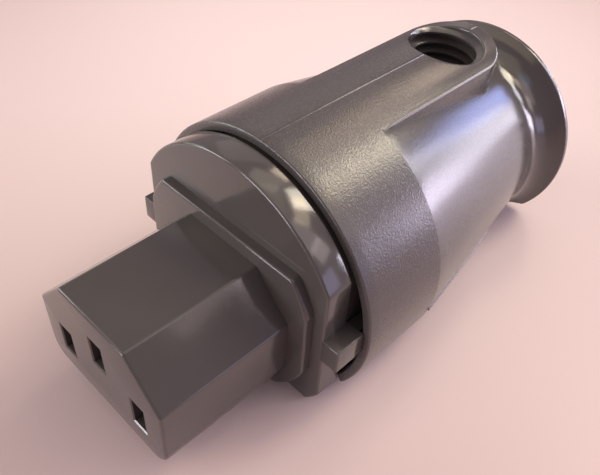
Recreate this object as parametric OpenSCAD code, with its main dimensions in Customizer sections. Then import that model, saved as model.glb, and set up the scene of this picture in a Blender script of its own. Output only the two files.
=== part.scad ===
// Rewireable cable connector of the C13 pattern: a contact carrier with its nose,
// three female contacts and their box terminals, in a one-piece rear shell with a
// screw-down cable clamp and a flared cable mouth.
// Lengths run back along -X from the nose face. Z = 0 is the flat underside.
// Millimetres.

/* [Pin pattern] */
// Distance between the line and neutral slots
pin_pitch = 14; // [13:0.1:15]
// Height of the earth slot above the line and neutral slots
earth_rise = 4; // [3:0.1:5]
// Width of each slot in the nose face
slot_w = 2.3; // [2.1:0.05:2.5]
// Height of each slot in the nose face
slot_h = 4.5; // [4.2:0.05:4.8]

/* [Nose] */
// Length of the nose from its face to the seal plate
nose_len = 18.2; // [16:0.1:22]
// Full width of the nose
nose_w = 23; // [22:0.1:25]
// Width of the flat top between the two chamfers
nose_top_w = 12; // [10:0.1:14]
// Top of the nose above the line and neutral slots
nose_top = 10.2; // [9.5:0.1:11]
// Height at which the chamfers meet the sides, above the line and neutral slots
nose_shoulder = 4.5; // [3.5:0.1:5.5]
// Bottom of the nose below the line and neutral slots
nose_bottom = 5.6; // [5:0.1:7]
// Radius of the two lower corners of the nose
nose_corner_r = 2.2; // [1:0.1:3]
// Thickness of the nose's front wall
face_t = 1.6; // [1.2:0.1:2.4]
// Distance of the shell axis above the line and neutral slots
axis_rise = 2.5; // [2:0.1:3]

/* [Seal plate] */
// Thickness of the plate behind the nose
plate_t = 1.35; // [1:0.05:2]
// Radius of the plate's rounded corners about the axis
plate_r = 15; // [14.6:0.1:15.6]
// Half width of the plate between its side flats
plate_half_w = 14.15; // [13.5:0.05:14.5]
// Height of the plate's top flat above the axis
plate_top = 9.6; // [9:0.1:10.5]

/* [Flange] */
// Thickness of the flange
flange_t = 3.85; // [3:0.05:5]
// Radius of the flange
flange_r = 18.3; // [17.8:0.1:18.8]
// Half width of the flange between its side flats
flange_half_w = 15.9; // [15.4:0.1:16.2]
// Gap between the flange and the rim of the shell
rim_gap = 0.6; // [0.4:0.05:1]
// Distance of the carrier's flat underside below the axis
carrier_drop = 11.65; // [11.2:0.05:12.2]
// Outer half width over the two side lugs
lug_half_w = 18.25; // [18:0.05:18.6]
// Height of each side lug
lug_h = 3.6; // [3:0.1:4.5]

/* [Shell] */
// Outer radius of the shell at its rim
shell_r = 19.2; // [18.9:0.1:20]
// Wall thickness of the shell
wall = 1.3; // [1.2:0.05:1.6]
// Length of the cylindrical front part
barrel_len = 13.35; // [12.5:0.1:15]
// Length of the tapered part
taper_len = 30.05; // [29.5:0.1:34]
// Outer radius at the neck, where the taper ends
neck_r = 14; // [13.7:0.1:14.5]
// Outward bow of the taper at its middle
taper_bow = 0.15; // [0:0.05:0.3]
// Distance of the shell's flat underside below the axis
shell_drop = 10.4; // [10:0.05:10.8]
// Depth of the open notch in the underside, behind the rim
notch_len = 3.2; // [2.5:0.1:4.5]

/* [Cable mouth] */
// Radius of the hollow curve of the flare
flare_r = 5.5; // [4.8:0.1:6]
// Angle to the axis at which the flare ends
flare_angle = 60; // [52:1:68]
// Width of the outer edge of the lip
lip_w = 1; // [0.8:0.1:1.6]
// Rounding of the lip's rear edge
lip_round = 0.4; // [0.2:0.05:0.6]
// Radius of the cable hole in the bulkhead
cable_hole_r = 5.6; // [5:0.1:6]
// Thickness of the bulkhead in front of the flare
bulkhead_t = 2; // [1.6:0.1:2.5]

/* [Cable clamp] */
// Half width of the raised boss along the top
boss_half_w = 6.95; // [6.7:0.05:7.3]
// Distance from the clamp hole back to the centre of the boss's round end
boss_end_shift = 0.5; // [0:0.1:1]
// Distance of the clamp hole behind the rim
clamp_from_rim = 35.3; // [35:0.1:36.4]
// Radius of the clamp hole over its thread
clamp_bore_r = 5.15; // [4.9:0.05:5.25]
// Clearance between the clamp screw and its hole
screw_clear = 0.1; // [0.05:0.01:0.1]
// Length of the clamp screw
clamp_screw_len = 6; // [5:0.1:7]
// Width of the slot across the clamp screw
driver_slot_w = 1.6; // [1.2:0.1:2]
// Depth of that slot
driver_slot_d = 2; // [1.5:0.1:2.5]
// Radius of the pivot between clamp screw and shoe
pivot_r = 1.2; // [1:0.05:1.5]
// Clearance round the pivot
pivot_clear = 0.06; // [0.02:0.01:0.1]
// Thickness of the clamp shoe
shoe_t = 2.6; // [2.2:0.1:3]
// Radius of the clamp shoe
shoe_r = 4.6; // [4.2:0.1:4.7]
// Opening between shoe and cradle with the screw right down
clamp_open_min = 6.6; // [6:0.1:7]
// Radius of the trough in the cradle that the cable lies in
cradle_r = 7; // [6.5:0.1:8]
// Distance of the bottom of the trough below the axis
cradle_drop = 5.9; // [5.7:0.1:6.5]
// Height above the axis at which the screw's tower ends
tower_gap = 5.3; // [5.1:0.1:5.8]
// Height of the cradle block above the floor of the shell
cradle_h = 5.9; // [5:0.1:6.5]

/* [Contacts] */
// Thickness of the contact strip
strip_t = 0.6; // [0.5:0.05:0.7]
// Half width of the folded contact
contact_half_w = 1.75; // [1.65:0.05:1.85]
// Height of the spring leaves from the underside of the contact
leaf_h = 5.1; // [4.8:0.1:5.3]
// Length of the spring leaves
leaf_len = 13.5; // [12:0.1:14.5]
// Distance of the contact behind the front wall of its chamber
contact_setback = 0.8; // [0.5:0.1:1.5]
// Half width of the chamber that holds a contact
chamber_half_w = 2.05; // [1.95:0.05:2.2]
// Half height of that chamber
chamber_half_h = 2.85; // [2.75:0.05:2.95]
// Free length of the chamber behind the spring leaves
chamber_spare = 0.6; // [0.4:0.1:1]

/* [Terminals] */
// Length of a box terminal along the connector
box_len = 7; // [6:0.1:8]
// Half width of a box terminal
box_half_w = 2.7; // [2.6:0.05:2.8]
// Thickness of its floor, below the contact tail
box_floor = 0.9; // [0.7:0.05:1]
// Thickness of its side walls
box_wall = 0.8; // [0.7:0.05:0.85]
// Height of its wire window
window_h = 4.6; // [4.2:0.1:5]
// Thickness of its threaded top
box_top = 1.9; // [1.6:0.1:2.2]
// Radius of the terminal screw over its thread
term_screw_r = 1.5; // [1.4:0.05:1.6]
// Radius of the terminal screw's head
term_head_r = 2.3; // [2.1:0.05:2.4]
// Height of the terminal screw's head
term_head_h = 1.8; // [1.5:0.1:2]
// Thickness of the pressure plate under the screw
pressure_t = 0.8; // [0.6:0.1:1]
// Clearance round parts that drop into the carrier
seat_clear = 0.15; // [0.1:0.05:0.2]

/* [Carrier body] */
// Length of the carrier's body inside the shell
body_len = 10.6; // [10:0.1:12]
// Clearance between the carrier's body and the shell
body_clear = 0.3; // [0.2:0.05:0.4]
// Half width of the carrier's body between its side flats
body_half_w = 15.5; // [15:0.1:15.7]
// Width of the key under the body, which fills the notch in the shell
key_w = 26; // [22:0.5:28]
// Thickness of the snap arms
arm_t = 1.45; // [1.2:0.05:1.5]
// Length of the snap arms behind the rim
arm_len = 7.5; // [6.5:0.1:8.5]
// Height of the hook on each snap arm
hook_h = 0.8; // [0.6:0.05:0.85]
// Thickness of the rear cover of the carrier
cover_t = 2; // [1.6:0.1:2.5]
// Radius of the wire holes in the rear cover
wire_hole_r = 2.1; // [1.8:0.05:2.3]
// Radius of the cover screws
cover_screw_r = 1.4; // [1.2:0.05:1.6]
// Length of the cover screws below their heads
cover_screw_len = 9; // [7:0.1:10]
// Distance of the cover screws from the side flats of the body
cover_screw_inset = 3.2; // [2.9:0.05:3.4]
// Height of the cover screws above the axis
cover_screw_z = 5; // [3:0.1:6]

/* [Hidden] */
$fn = 96;
eps = 0.01;
big = 100;

// Distances behind the nose face
plate_at = nose_len;
flange_at = plate_at + plate_t;
body_at = flange_at + flange_t;
rim_at = body_at + rim_gap;
crease_at = rim_at + barrel_len;
neck_at = crease_at + taper_len;
taper_angle = atan((shell_r - neck_r) / taper_len);
slant_wall = wall / cos(taper_angle);
lip_at = neck_at + flare_r * (sin(taper_angle) + sin(flare_angle));
back_at = lip_at + lip_w;
body_end = body_at + body_len;
cover_end = body_end + cover_t;
clamp_at = rim_at + clamp_from_rim;
bulkhead_at = neck_at - bulkhead_t;
box_at = body_end - box_len;
contact_at = face_t + contact_setback;

// Frame: the nose face is half the length in front of the origin
nose_x = back_at / 2;
axis_z = max(carrier_drop, shell_drop);

// Radii and levels, heights being above the axis
bore_r = shell_r - wall;
floor_z = -shell_drop + wall;
flare_centre_r = neck_r + flare_r * cos(taper_angle);
flare_centre_at = neck_at + flare_r * sin(taper_angle);
lip_r = flare_centre_r - flare_r * cos(flare_angle);
cover_r = bore_r - 2 * body_clear;
box_h = box_floor + window_h + box_top;
box_bottom = -chamber_half_h - box_floor;
box_under_top = box_bottom + box_floor + window_h;
screw_under_head = box_bottom + box_h + 0.4;
pressure_top = box_under_top - 0.4;
screw_at = box_at + box_len / 2;
notch_slope = 0.6;
cover_screw_y = body_half_w - cover_screw_inset;
arm_inset = 0.85;
arm_y = lug_half_w - arm_t - arm_inset;
chamber_end = contact_at + leaf_len + chamber_spare;
key_drop = shell_drop - 0.2;
body_drop = -floor_z - body_clear;
cradle_centre = cradle_r - cradle_drop;
cradle_top = floor_z + cradle_h;
cradle_half_w = sqrt(pow(cradle_r, 2) - pow(cradle_centre - cradle_top, 2)) + wall;
shoe_bottom = -cradle_drop + clamp_open_min;
shoe_top = shoe_bottom + shoe_t;
clamp_screw_r = clamp_bore_r - screw_clear;
pivot_h = 2.2;

POLE_LINE = [-pin_pitch / 2, 0];
POLE_NEUTRAL = [pin_pitch / 2, 0];
POLE_EARTH = [0, earth_rise];
POLES = [POLE_LINE, POLE_NEUTRAL, POLE_EARTH];

housing_grey = [0.29, 0.29, 0.30];
cover_grey = [0.20, 0.20, 0.21];
brass = [0.78, 0.62, 0.30];
steel = [0.70, 0.71, 0.72];
black_nylon = [0.07, 0.07, 0.08];

// Points of an arc
function arc(centre, r, from, to, steps = 8) =
    [for (i = [0:steps]) centre + r * [cos(from + (to - from) * i / steps),
                                       sin(from + (to - from) * i / steps)]];

// Outer radius of the taper at a distance behind the crease
function taper_r(q) =
    shell_r - (shell_r - neck_r) * q / taper_len
    + 4 * taper_bow * (q / taper_len) * (1 - q / taper_len);

// Point of the flare, or of its inner face when the wall is added
function flare_point(angle, extra = 0) =
    [flare_centre_r - (flare_r + extra) * cos(angle),
     -(flare_centre_at + (flare_r + extra) * sin(angle))];

// Section drawn in Y and Z about the axis, carried from one distance to another
module along(from, to) {
    translate([nose_x - to, 0, axis_z])
        rotate([90, 0, 90])
            linear_extrude(to - from) children();
}

// Profile of radius and negative distance, turned about the axis
module lathe() {
    translate([nose_x, 0, axis_z]) rotate([0, 90, 0]) rotate_extrude() children();
}

// Vertical shapes at a distance behind the nose face
module upright(at, y = 0, z = 0) {
    translate([nose_x - at, y, axis_z + z]) children();
}

// Everything above a level, for cutting flat undersides
module above(level, half_w = big) {
    translate([-half_w, level]) square([2 * half_w, big]);
}

// Disc about the axis with two side flats and a flat underside
module flatted_disc(r, half_w, drop) {
    intersection() {
        circle(r);
        above(-drop, half_w);
    }
}

// One pole of the pin pattern
module at_pole(pole) {
    translate([pole[0], pole[1] - axis_rise]) children();
}

module nose_section() {
    side = nose_w / 2;
    inner = side - nose_corner_r;
    low = -nose_bottom + nose_corner_r;
    translate([0, -axis_rise])
        polygon(concat(
            [[side, nose_shoulder], [nose_top_w / 2, nose_top],
             [-nose_top_w / 2, nose_top], [-side, nose_shoulder]],
            arc([-inner, low], nose_corner_r, 180, 270),
            arc([inner, low], nose_corner_r, 270, 360)
        ));
}

module plate_section() {
    intersection() {
        flatted_disc(plate_r, plate_half_w, carrier_drop);
        translate([-big, -big]) square([2 * big, big + plate_top]);
    }
}

// Side lug and the snap arm that runs back from it into the shell
module lug_and_arm() {
    along(flange_at, rim_at - 0.05)
        translate([flange_half_w - 1, -lug_h / 2])
            square([lug_half_w - flange_half_w + 1, lug_h]);
    hook_from = rim_at + arm_len - 2;
    hook_to = rim_at + arm_len;
    upright(0, 0, -lug_h / 2)
        linear_extrude(lug_h)
            polygon([
                [-body_at + eps, arm_y], [-hook_to, arm_y],
                [-hook_to, arm_y + arm_t - 0.4], [-hook_from, arm_y + arm_t + hook_h],
                [-hook_from, arm_y + arm_t], [-body_at + eps, arm_y + arm_t]
            ]);
}

module contact_carrier() {
    color(housing_grey)
    difference() {
        union() {
            along(0, plate_at + eps) nose_section();
            along(plate_at, flange_at + eps) plate_section();
            along(flange_at, body_at) flatted_disc(flange_r, flange_half_w, carrier_drop);
            along(body_at - eps, body_end)
                flatted_disc(bore_r - body_clear, body_half_w, body_drop);
            // Key that fills the notch in the underside of the shell
            along(body_at - eps, rim_at + notch_len - body_clear)
                translate([-key_w / 2, -key_drop]) square([key_w, key_drop - body_drop + 1]);
            for (side = [0, 1]) mirror([0, side, 0]) lug_and_arm();
        }
        for (pole = POLES) pole_cuts(pole);
        for (side = [-1, 1])
            along(cover_end - cover_screw_len - 1, body_end + eps)
                translate([side * cover_screw_y, cover_screw_z])
                    circle(cover_screw_r + 0.05, $fn = 32);
    }
}

// Slot, contact chamber, terminal pocket and screwdriver hole of one pole
module pole_cuts(pole) {
    along(-eps, face_t + eps)
        at_pole(pole) square([slot_w, slot_h], center = true);
    along(face_t, chamber_end)
        at_pole(pole) square(2 * [chamber_half_w, chamber_half_h], center = true);
    // Passage for the contact's tail, from the chamber to the terminal
    along(chamber_end - eps, box_at)
        at_pole(pole) translate([-chamber_half_w, -chamber_half_h])
            square([2 * chamber_half_w, strip_t + 2 * seat_clear]);
    along(box_at - seat_clear, body_end + eps)
        at_pole(pole)
            translate([-box_half_w - seat_clear, box_bottom])
                square([2 * (box_half_w + seat_clear), box_h + seat_clear]);
    upright(screw_at, pole[0], pole[1] - axis_rise)
        cylinder(r = term_head_r + 0.3, h = big, $fn = 48);
}

module outer_profile() {
    taper_steps = 6;
    flare_steps = 8;
    polygon(concat(
        [[0, -rim_at], [shell_r, -rim_at]],
        [for (i = [0:taper_steps - 1])
            let (q = taper_len * i / taper_steps) [taper_r(q), -(crease_at + q)]],
        [for (i = [0:flare_steps])
            flare_point(-taper_angle + (flare_angle + taper_angle) * i / flare_steps)],
        arc([lip_r - lip_round, -back_at + lip_round], lip_round, 0, -90, 4),
        [[0, -back_at]]
    ));
}

// Front cavity, from the rim to the bulkhead
module cavity_profile() {
    steps = 6;
    q_end = taper_len - bulkhead_t;
    polygon(concat(
        [[0, -rim_at + eps], [bore_r, -rim_at + eps]],
        [for (i = [0:steps])
            let (q = q_end * i / steps) [taper_r(q) - slant_wall, -(crease_at + q)]],
        [[0, -bulkhead_at]]
    ));
}

// Hollow of the cable mouth, behind the bulkhead
module mouth_profile() {
    steps = 8;
    end_angle = asin((back_at + eps - flare_centre_at) / (flare_r + wall));
    polygon(concat(
        [[0, -neck_at], [neck_r - wall, -neck_at]],
        [for (i = [0:steps]) flare_point(end_angle * i / steps, wall)],
        [[0, -back_at - eps]]
    ));
}

module rear_shell() {
    color(housing_grey)
    difference() {
        union() {
            difference() {
                intersection() {
                    union() {
                        lathe() outer_profile();
                        clamp_boss();
                    }
                    along(rim_at, back_at) above(-shell_drop);
                }
                shell_hollow();
            }
            // Tower round the clamp hole and cradle under the cable
            intersection() {
                upright(clamp_at, 0, tower_gap) cylinder(r = boss_half_w, h = big);
                lathe() translate([0, -bulkhead_at - eps])
                    square([shell_r - wall / 2, bulkhead_at - crease_at]);
            }
            along(clamp_at - shoe_r - 0.7, bulkhead_at + eps)
                difference() {
                    translate([-cradle_half_w, floor_z - eps])
                        square([2 * cradle_half_w, cradle_h + eps]);
                    translate([0, cradle_centre]) circle(cradle_r);
                }
        }
        upright(clamp_at) cylinder(r = clamp_bore_r, h = big);
        along(bulkhead_at - eps, neck_at + eps) circle(cable_hole_r);
        rim_notch();
        for (side = [0, 1]) mirror([0, side, 0]) hook_pocket();
    }
}

// Raised boss along the top, with its rounded end round the clamp hole
module clamp_boss() {
    end_at = clamp_at + boss_end_shift;
    intersection() {
        lathe() translate([0, -back_at]) square([shell_r, back_at]);
        union() {
            translate([nose_x - end_at, -boss_half_w, axis_z])
                cube([end_at - crease_at + 1, 2 * boss_half_w, big]);
            upright(end_at) cylinder(r = boss_half_w, h = big);
        }
    }
}

module shell_hollow() {
    intersection() {
        union() {
            lathe() cavity_profile();
            lathe() mouth_profile();
        }
        along(0, back_at + 1) above(floor_z);
    }
    // The boss is cored out in front of the clamp hole
    intersection() {
        lathe() translate([0, -back_at]) square([bore_r, back_at]);
        along(crease_at, clamp_at - boss_half_w + 1)
            translate([-boss_half_w + wall, 0]) square([2 * (boss_half_w - wall), big]);
    }
}

// Notch through the underside behind the rim, with sloping ends
module rim_notch() {
    low_half = sqrt(shell_r * shell_r - shell_drop * shell_drop) - 0.1;
    rise = wall + 0.6;
    along(rim_at - eps, rim_at + notch_len)
        polygon([
            [low_half + notch_slope, -shell_drop - 1], [low_half, -shell_drop],
            [low_half - notch_slope * rise, -shell_drop + rise],
            [-low_half + notch_slope * rise, -shell_drop + rise],
            [-low_half, -shell_drop], [-low_half - notch_slope, -shell_drop - 1]
        ]);
}

// Recess inside the wall that the hook of a snap arm springs into
module hook_pocket() {
    along(rim_at + arm_len - 2 - body_clear, rim_at + arm_len + body_clear)
        translate([arm_y + arm_t, -lug_h / 2 - body_clear])
            square([hook_h + body_clear, lug_h + 2 * body_clear]);
}

// Insulating cover that closes the terminal pockets
module carrier_cover() {
    color(cover_grey)
    along(body_end, cover_end)
    difference() {
        flatted_disc(cover_r, body_half_w - 0.5, -floor_z - 2 * body_clear);
        for (pole = POLES)
            at_pole(pole) translate([0, -chamber_half_h + window_h / 2])
                circle(wire_hole_r, $fn = 48);
        for (side = [-1, 1])
            translate([side * cover_screw_y, cover_screw_z])
                circle(cover_screw_r + seat_clear, $fn = 32);
    }
}

// Folded strip: floor, two spring leaves that pinch the pin, and a tail
module contact(pole) {
    pinch = 0.25;
    root = contact_at + leaf_len;
    module leaf() {
        polygon([
            [-contact_at, contact_half_w - strip_t + 0.1],
            [-contact_at - 2.5, contact_half_w - strip_t - pinch],
            [-root + 4, contact_half_w - strip_t],
            [-root, contact_half_w - strip_t], [-root, contact_half_w],
            [-root + 4, contact_half_w], [-contact_at - 2.5, contact_half_w - pinch],
            [-contact_at, contact_half_w + 0.1]
        ]);
    }
    color(brass)
    upright(0, pole[0], pole[1] - axis_rise - chamber_half_h) {
        translate([-body_end + 0.4, -contact_half_w, 0])
            cube([body_end - 0.4 - contact_at - 4, 2 * contact_half_w, strip_t]);
        linear_extrude(leaf_h) {
            leaf();
            mirror([0, 1]) leaf();
        }
    }
}

// Brass box with a wire window through it and a tapped hole in its top
module terminal(pole) {
    color(brass)
    difference() {
        along(box_at, body_end)
            at_pole(pole)
                translate([-box_half_w, box_bottom])
                    difference() {
                        square([2 * box_half_w, box_h]);
                        translate([box_wall, box_floor])
                            square([2 * (box_half_w - box_wall), window_h]);
                    }
        upright(screw_at, pole[0], pole[1] - axis_rise)
            cylinder(r = term_screw_r + 0.05, h = big, $fn = 48);
    }
}

module pressure_plate(pole) {
    plate_w = 2 * (box_half_w - box_wall - seat_clear);
    color(steel)
    upright(screw_at, pole[0], pole[1] - axis_rise + pressure_top - pressure_t)
        translate([-2.6, -plate_w / 2, 0]) cube([5.2, plate_w, pressure_t]);
}

module terminal_screw(pole) {
    color(steel)
    upright(screw_at, pole[0], pole[1] - axis_rise)
    difference() {
        union() {
            translate([0, 0, pressure_top])
                cylinder(r = term_screw_r, h = screw_under_head - pressure_top + eps, $fn = 48);
            translate([0, 0, screw_under_head])
                cylinder(r = term_head_r, h = term_head_h, $fn = 48);
        }
        translate([-term_head_r - 1, -0.35, screw_under_head + term_head_h - 0.9])
            cube([2 * term_head_r + 2, 0.7, 1]);
    }
}

module cover_screw(side) {
    head_r = 2.6;
    head_h = 1.8;
    color(steel)
    translate([nose_x - cover_end, side * cover_screw_y, axis_z + cover_screw_z])
    rotate([0, 90, 0])
    difference() {
        union() {
            translate([0, 0, -eps])
                cylinder(r = cover_screw_r, h = cover_screw_len + eps, $fn = 48);
            translate([0, 0, -head_h]) cylinder(r = head_r, h = head_h, $fn = 48);
        }
        translate([-head_r - 1, -0.35, -head_h - 1]) cube([2 * head_r + 2, 0.7, 1.9]);
    }
}

// Headless screw with a driver slot; its thread is the outer radius
module clamp_screw() {
    color(black_nylon)
    upright(clamp_at, 0, shoe_top)
    difference() {
        cylinder(r = clamp_screw_r, h = clamp_screw_len);
        translate([0, 0, -eps]) cylinder(r = pivot_r + pivot_clear, h = pivot_h + 0.3);
        translate([-clamp_screw_r - 1, -driver_slot_w / 2, clamp_screw_len - driver_slot_d])
            cube([2 * clamp_screw_r + 2, driver_slot_w, driver_slot_d + 1]);
    }
}

// Pad that bears on the cable, hollowed along its underside, with a pivot on top
module clamp_shoe() {
    groove_r = 4;
    color(black_nylon)
    upright(clamp_at, 0, shoe_bottom)
    difference() {
        union() {
            cylinder(r = shoe_r, h = shoe_t - 0.1);
            cylinder(r = pivot_r, h = shoe_t + pivot_h);
        }
        translate([-shoe_r - 1, 0, -groove_r + 0.9])
            rotate([0, 90, 0]) cylinder(r = groove_r, h = 2 * shoe_r + 2);
    }
}

contact_carrier();
rear_shell();
carrier_cover();
contact(POLE_LINE);  // line_contact
contact(POLE_NEUTRAL);  // neutral_contact
contact(POLE_EARTH);  // earth_contact
terminal(POLE_LINE);  // line_terminal
terminal(POLE_NEUTRAL);  // neutral_terminal
terminal(POLE_EARTH);  // earth_terminal
pressure_plate(POLE_LINE);  // line_pressure_plate
pressure_plate(POLE_NEUTRAL);  // neutral_pressure_plate
pressure_plate(POLE_EARTH);  // earth_pressure_plate
terminal_screw(POLE_LINE);  // line_terminal_screw
terminal_screw(POLE_NEUTRAL);  // neutral_terminal_screw
terminal_screw(POLE_EARTH);  // earth_terminal_screw
cover_screw(-1);  // cover_screw_left
cover_screw(1);  // cover_screw_right
clamp_screw();
clamp_shoe();
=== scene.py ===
import bpy
import bmesh
import math
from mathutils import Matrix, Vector


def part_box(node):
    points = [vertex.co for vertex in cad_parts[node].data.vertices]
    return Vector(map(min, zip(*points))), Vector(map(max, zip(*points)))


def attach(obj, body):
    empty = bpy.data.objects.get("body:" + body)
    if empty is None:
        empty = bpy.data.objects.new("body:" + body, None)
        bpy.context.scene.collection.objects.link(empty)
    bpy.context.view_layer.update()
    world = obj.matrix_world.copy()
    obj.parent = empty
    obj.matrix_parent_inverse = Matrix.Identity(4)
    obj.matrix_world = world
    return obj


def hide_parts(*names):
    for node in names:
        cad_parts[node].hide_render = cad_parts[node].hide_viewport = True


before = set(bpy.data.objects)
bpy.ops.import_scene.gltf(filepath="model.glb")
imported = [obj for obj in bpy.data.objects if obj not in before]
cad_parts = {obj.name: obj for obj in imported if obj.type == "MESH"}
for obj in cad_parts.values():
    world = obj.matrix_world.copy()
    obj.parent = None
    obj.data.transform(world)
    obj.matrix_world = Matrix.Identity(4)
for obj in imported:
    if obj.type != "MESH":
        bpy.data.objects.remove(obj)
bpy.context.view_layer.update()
print("stage: frame loaded")


def corners(pair):
    return [[float(v) for v in corner] for corner in pair]


# The connector is drawn as at, y and h in millimetres: at runs back from the
# nose face, y across, and h up from the axis of the round shell.
place = {"shellRadius": 19.2}
place["noseX"] = corners(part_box("contact_carrier"))[1][0] * 1000
place["axisZ"] = corners(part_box("rear_shell"))[1][2] * 1000 - place["shellRadius"]
place["backAt"] = place["noseX"] - corners(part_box("rear_shell"))[0][0] * 1000


def spot(at, y, h):
    return ((place["noseX"] - at) / 1000, y / 1000, (place["axisZ"] + h) / 1000)


def xOf(at):
    return (place["noseX"] - at) / 1000


# Materials

def linear(hexColour):
    parts = [int(hexColour[i:i + 2], 16) / 255 for i in (1, 3, 5)]
    return tuple(c / 12.92 if c <= 0.04045 else ((c + 0.055) / 1.055) ** 2.4 for c in parts) + (1.0,)


def addNode(tree, kind, settings=None, links=None):
    node = tree.nodes.new(kind)
    for name, value in (settings or {}).items():
        if isinstance(name, str) and name in node.bl_rna.properties:
            setattr(node, name, value)
        else:
            node.inputs[name].default_value = value
    for name, source in (links or {}).items():
        tree.links.new(source, node.inputs[name])
    return node


def newMaterial(name):
    material = bpy.data.materials.new(name)
    material.use_nodes = True
    tree = material.node_tree
    shader = tree.nodes["Principled BSDF"]
    position = addNode(tree, "ShaderNodeTexCoord").outputs["Object"]
    return material, tree, shader, position


def greyMoulding(name, settings):
    # Injection-moulded polyamide in mid grey. The tool's spark-eroded front gives a fine
    # even grain that scatters highlights; the polished parts of the tool give a semi-gloss skin.
    material, tree, shader, position = newMaterial(name)
    link = tree.links.new
    shader.inputs["IOR"].default_value = 1.53
    shader.inputs["Specular IOR Level"].default_value = settings["specular"]

    # Flow marks and tiny tone changes of the melt
    clouds = addNode(tree, "ShaderNodeTexNoise", {"Scale": settings["cloudScale"], "Detail": 3.0},
                     {"Vector": position})
    tone = addNode(tree, "ShaderNodeMix", {"data_type": "RGBA"}, {"Factor": clouds.outputs["Fac"]})
    tone.inputs[6].default_value = linear(settings["dark"])
    tone.inputs[7].default_value = linear(settings["light"])
    link(tone.outputs[2], shader.inputs["Base Color"])

    # Grain: pits where the tool was spark-eroded, drawn as coarse as the render can show
    grain = addNode(tree, "ShaderNodeTexNoise", {"Scale": settings["grainScale"], "Detail": 2.0,
                                                 "Roughness": 0.6}, {"Vector": position})
    if settings["grainy"]:
        # The grain covers the round front and the boss, and fades out on the taper
        place3 = addNode(tree, "ShaderNodeSeparateXYZ", {}, {"Vector": position})
        front = addNode(tree, "ShaderNodeMapRange",
                        {"From Min": settings["creaseX"] - 0.00005,
                         "From Max": settings["creaseX"] + 0.00005},
                        {"Value": place3.outputs["X"]})
        across = addNode(tree, "ShaderNodeMath", {"operation": "ABSOLUTE"}, {0: place3.outputs["Y"]})
        raised = addNode(tree, "ShaderNodeMapRange",
                         {"From Min": settings["bossTopZ"] - 0.0002, "From Max": settings["bossTopZ"]},
                         {"Value": place3.outputs["Z"]})
        nearTop = addNode(tree, "ShaderNodeMapRange",
                          {"From Min": 0.0071, "From Max": 0.0069}, {"Value": across.outputs[0]})
        fade = addNode(tree, "ShaderNodeMapRange",
                       {"From Min": settings["bossFadeX"] - 0.006,
                         "From Max": settings["bossFadeX"] + 0.006},
                       {"Value": place3.outputs["X"]})
        onBoss = addNode(tree, "ShaderNodeMath", {"operation": "MULTIPLY"},
                         {0: raised.outputs[0], 1: nearTop.outputs[0]})
        onBoss = addNode(tree, "ShaderNodeMath", {"operation": "MULTIPLY"},
                         {0: onBoss.outputs[0], 1: fade.outputs[0]})
        mask = addNode(tree, "ShaderNodeMath", {"operation": "MAXIMUM"},
                       {0: front.outputs[0], 1: onBoss.outputs[0]})
        # Satin on the taper, polished at the flare
        dull = addNode(tree, "ShaderNodeMapRange",
                       {"From Min": settings["flareX"] - 0.002, "From Max": settings["flareX"] + 0.006},
                       {"Value": place3.outputs["X"]})
        satin = addNode(tree, "ShaderNodeMapRange",
                        {"To Min": settings["flareRough"], "To Max": settings["taperRough"]},
                        {"Value": dull.outputs[0]})
        rough = addNode(tree, "ShaderNodeMix", {"data_type": "FLOAT", "B": settings["grainRough"]},
                        {"Factor": mask.outputs[0], "A": satin.outputs[0]})
        # The tops of the grain are worn smooth and glint, and its pits are duller; the pits are also darkened
        # with painted shade
        pits = addNode(tree, "ShaderNodeMapRange", {"From Min": 0.36, "From Max": 0.64},
                       {"Value": grain.outputs["Fac"]})
        pits = addNode(tree, "ShaderNodeMath", {"operation": "MULTIPLY"},
                       {0: pits.outputs[0], 1: dull.outputs[0]})
        reach = addNode(tree, "ShaderNodeMapRange",
                        {"To Min": settings["taperGlint"], "To Max": settings["grainGlint"]},
                        {"Value": mask.outputs[0]})
        glint = addNode(tree, "ShaderNodeMath", {"operation": "MULTIPLY_ADD"},
                        {0: pits.outputs[0], 1: reach.outputs[0], 2: rough.outputs[0]})
        link(glint.outputs[0], shader.inputs["Roughness"])
        # Painted shade: the base colour is darkened towards the pit colour in the grain's pits, where shade
        # falls
        paintedPitShadeMask = addNode(tree, "ShaderNodeMath", {"operation": "MULTIPLY", 1: settings["paintedPitShadeAmount"]},
                        {0: pits.outputs[0]})
        colourWithPaintedPitShade = addNode(tree, "ShaderNodeMix", {"data_type": "RGBA"}, {"Factor": paintedPitShadeMask.outputs[0]})
        link(tone.outputs[2], colourWithPaintedPitShade.inputs[6])
        colourWithPaintedPitShade.inputs[7].default_value = linear(settings["paintedPitShadeColour"])
        link(colourWithPaintedPitShade.outputs[2], shader.inputs["Base Color"])
        depth = addNode(tree, "ShaderNodeMapRange",
                        {"To Min": settings["taperBump"], "To Max": settings["grainBump"]},
                        {"Value": mask.outputs[0]})
        bump = addNode(tree, "ShaderNodeBump", {"Distance": settings["grainDepth"]},
                       {"Height": grain.outputs["Fac"], "Strength": depth.outputs[0]})
    else:
        fine = addNode(tree, "ShaderNodeTexNoise", {"Scale": settings["fineScale"], "Detail": 1.0},
                       {"Vector": position})
        rough = addNode(tree, "ShaderNodeMapRange",
                        {"To Min": settings["roughLow"], "To Max": settings["roughHigh"]},
                        {"Value": fine.outputs["Fac"]})
        link(rough.outputs[0], shader.inputs["Roughness"])
        bump = addNode(tree, "ShaderNodeBump", {"Distance": settings["grainDepth"],
                                                "Strength": settings["grainBump"]},
                       {"Height": grain.outputs["Fac"]})
    link(bump.outputs["Normal"], shader.inputs["Normal"])
    return material


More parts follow.
